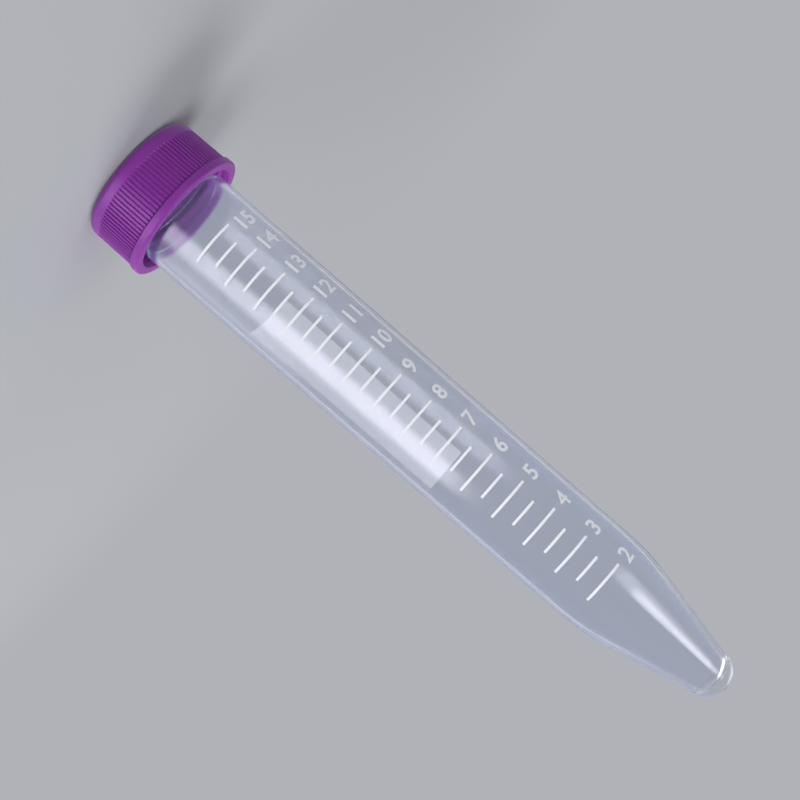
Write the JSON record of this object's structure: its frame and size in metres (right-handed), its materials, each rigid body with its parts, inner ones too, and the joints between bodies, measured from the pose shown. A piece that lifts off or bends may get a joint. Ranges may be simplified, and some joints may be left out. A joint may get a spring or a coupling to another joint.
{
  "type": "15 ml conical tube with screw cap",
  "caption": "Clear conical-bottomed laboratory tube with a printed volume scale, standing on its ribbed purple screw cap.",
  "frame": {"origin": "centre of the cap's flat top face, on which the closed tube stands", "axes": "+Z along the tube from the cap towards the tip; the volume scale faces -Y"},
  "size_m": [0.0228, 0.0226, 0.12],
  "materials": {
    "tube_plastic": "clear, slightly milky moulded polypropylene, polished",
    "cap_plastic": "purple moulded polyethylene, satin"
  },
  "bodies": {
    "cap": {"screw_cap": "cap_plastic"},
    "tube": {"tube": "tube_plastic"}
  },
  "joints": [
    {"name": "tube_lift", "type": "slide", "parent": "cap", "child": "tube", "axis": [0, 0, 1], "range_m": [0, 0.02]}
  ]
}
